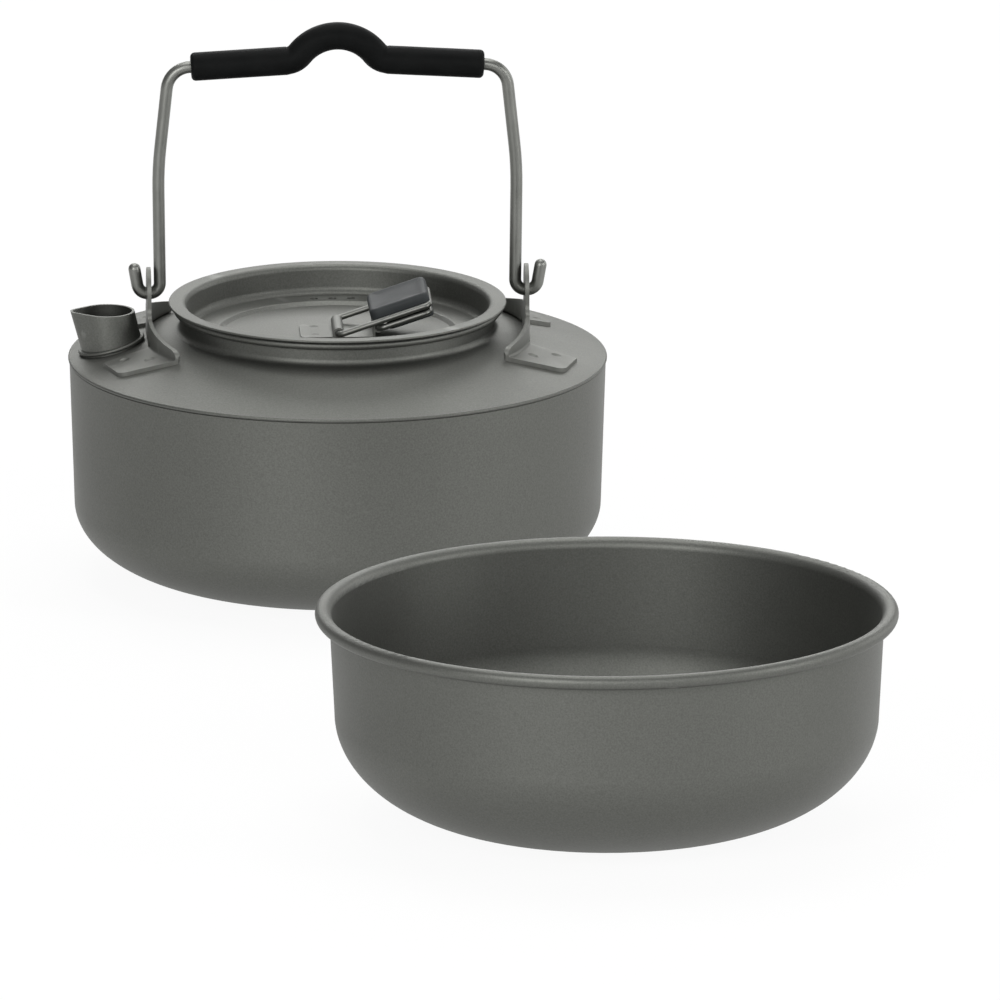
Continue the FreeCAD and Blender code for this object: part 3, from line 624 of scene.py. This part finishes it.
class CookingSetPads(bpy.types.Operator):
    """Mould the grey silicone pads onto the lid's loops"""
    bl_idname = "cooking_set.pads"
    bl_label = "Lid pads"

    def execute(self, context):
        finish = context.scene.cooking_finish
        sizes = context.scene.cooking_pads
        material = moulded_silicone(
            "silicone_grey_matt", finish.pad, finish.pad_dust, PAD_SPECULAR)
        pads = {
            "long": (sizes.long_start, sizes.long_end, sizes.long_low, sizes.long_rise),
            "short": (sizes.short_start, sizes.short_end, sizes.short_low, sizes.short_rise)}
        for which, shape in pads.items():
            hinge = JOINTS[which + "_loop_raise"]["pos_m"]
            piece = pad_piece("lid_pad_" + which + "_moulded", shape, sizes, hinge, material)
            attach(piece, which + "_loop")
            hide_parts("lid_pad_" + which)
        return {"FINISHED"}


def around(azimuth, elevation, distance):
    """A place round the origin, from degrees; azimuth 0 is in front of the set."""
    turn, up = math.radians(azimuth), math.radians(elevation)
    return distance * Vector((
        math.sin(turn) * math.cos(up), -math.cos(turn) * math.cos(up), math.sin(up)))


def area_lamp(name, place, aim, size, power):
    """A soft rectangular lamp that shines from place towards aim; size is (width, height)."""
    lamp = bpy.data.lights.new(name, "AREA")
    lamp.shape = "RECTANGLE"
    lamp.size, lamp.size_y = size
    lamp.energy = power
    holder = bpy.data.objects.new(name, lamp)
    holder.location = place
    holder.rotation_mode = "QUATERNION"
    holder.rotation_quaternion = (Vector(aim) - Vector(place)).to_track_quat("-Z", "Y")
    holder.visible_camera = False
    bpy.context.scene.collection.objects.link(holder)


# Each lamp: degrees round the set from its front, degrees up, distance, width, height, watts.
LAMPS = {
    "lamp_top": (178, 80, 1.4, 1.1, 0.9, 11.5),
    "lamp_back": (178, 31, 1.5, 1.4, 0.5, 8.8),
    "lamp_front_left": (-24, 22, 1.6, 0.35, 0.7, 10.0),
    "lamp_front_right": (15, 22, 1.6, 0.35, 0.7, 4.0),
    "lamp_right": (62, 20, 1.5, 0.4, 0.8, 6.5),
    "lamp_back_right": (118, 20, 1.5, 0.7, 0.9, 5.0),
}
LAMP_AIM = (0.02, -0.1, 0.04)
# Squares along each side of the floor.
FLOOR_CELLS = 8


def studio_world(stage):
    """An even grey world that the camera sees white."""
    world = bpy.data.worlds.new("studio")
    world.use_nodes = True
    tree = world.node_tree
    tree.nodes.clear()
    level = add(tree, "ShaderNodeMath",
                {0: shown_white(tree, 1.0, stage.world_mirrored), 1: stage.world_grey},
                operation="MAXIMUM")
    sky = add(tree, "ShaderNodeBackground",
              {"Color": (1, 1, 1, 1), "Strength": level.outputs[0]})
    add(tree, "ShaderNodeOutputWorld", {"Surface": sky.outputs["Background"]})
    return world


class CookingSetStageOperator(bpy.types.Operator):
    """Lay the floor, hang the lamps and stand the camera"""
    bl_idname = "cooking_set.stage"
    bl_label = "Stage"

    def execute(self, context):
        stage = context.scene.cooking_stage
        scene = context.scene

        mesh = bpy.data.meshes.new("floor")
        build = bmesh.new()
        bmesh.ops.create_grid(build, x_segments=FLOOR_CELLS, y_segments=FLOOR_CELLS,
                              size=stage.floor_size / 2)
        build.to_mesh(mesh)
        build.free()
        floor = bpy.data.objects.new("floor", mesh)
        mesh.materials.append(paper_sweep(stage))
        scene.collection.objects.link(floor)

        for name, (azimuth, elevation, distance, width, height, power) in LAMPS.items():
            place = around(azimuth, elevation, distance)
            area_lamp(name, place, LAMP_AIM, (width, height), power)
        scene.world = studio_world(stage)

        camera = bpy.data.cameras.new("camera")
        camera.sensor_width = 36.0
        camera.lens = stage.lens
        camera.clip_start = 0.5
        camera.clip_end = 60.0
        holder = bpy.data.objects.new("camera", camera)
        back = around(math.degrees(stage.azimuth), math.degrees(stage.elevation), 1.0)
        holder.location = Vector(stage.aim) + back * stage.distance
        holder.rotation_mode = "QUATERNION"
        holder.rotation_quaternion = (-back).to_track_quat("-Z", "Y")
        scene.collection.objects.link(holder)
        scene.camera = holder
        scene.view_settings.view_transform = "Standard"
        return {"FINISHED"}


OPERATORS = (
    CookingSetDrawn, CookingSetSheet, CookingSetWire, CookingSetGrip, CookingSetPads,
    CookingSetStageOperator)


class CookingSetPanel(bpy.types.Panel):
    """The set's pieces and its stage"""
    bl_idname = "VIEW3D_PT_cooking_set"
    bl_label = "Cooking Set"
    bl_space_type = "VIEW_3D"
    bl_region_type = "UI"
    bl_category = "Cooking Set"

    def draw(self, context):
        scene = context.scene
        for group in (scene.cooking_finish, scene.cooking_grip, scene.cooking_pads,
                      scene.cooking_stage):
            box = self.layout.box()
            for name in group.bl_rna.properties.keys():
                if name not in ("rna_type", "name"):
                    box.prop(group, name)
        for operator in OPERATORS:
            self.layout.operator(operator.bl_idname)


CLASSES = (
    CookingSetFinish, CookingSetGripSizes, CookingSetPadSizes, CookingSetStage,
    *OPERATORS, CookingSetPanel)


def register():
    for kind in CLASSES:
        bpy.utils.register_class(kind)
    bpy.types.Scene.cooking_finish = PointerProperty(type=CookingSetFinish)
    bpy.types.Scene.cooking_grip = PointerProperty(type=CookingSetGripSizes)
    bpy.types.Scene.cooking_pads = PointerProperty(type=CookingSetPadSizes)
    bpy.types.Scene.cooking_stage = PointerProperty(type=CookingSetStage)


def unregister():
    del bpy.types.Scene.cooking_stage
    del bpy.types.Scene.cooking_pads
    del bpy.types.Scene.cooking_grip
    del bpy.types.Scene.cooking_finish
    for kind in reversed(CLASSES):
        bpy.utils.unregister_class(kind)


def main():
    register()
    bpy.ops.cooking_set.drawn()
    bpy.ops.cooking_set.sheet()
    bpy.ops.cooking_set.wire()
    bpy.ops.cooking_set.grip()
    bpy.ops.cooking_set.pads()
    bpy.ops.cooking_set.stage()


if __name__ == "__main__":
    main()
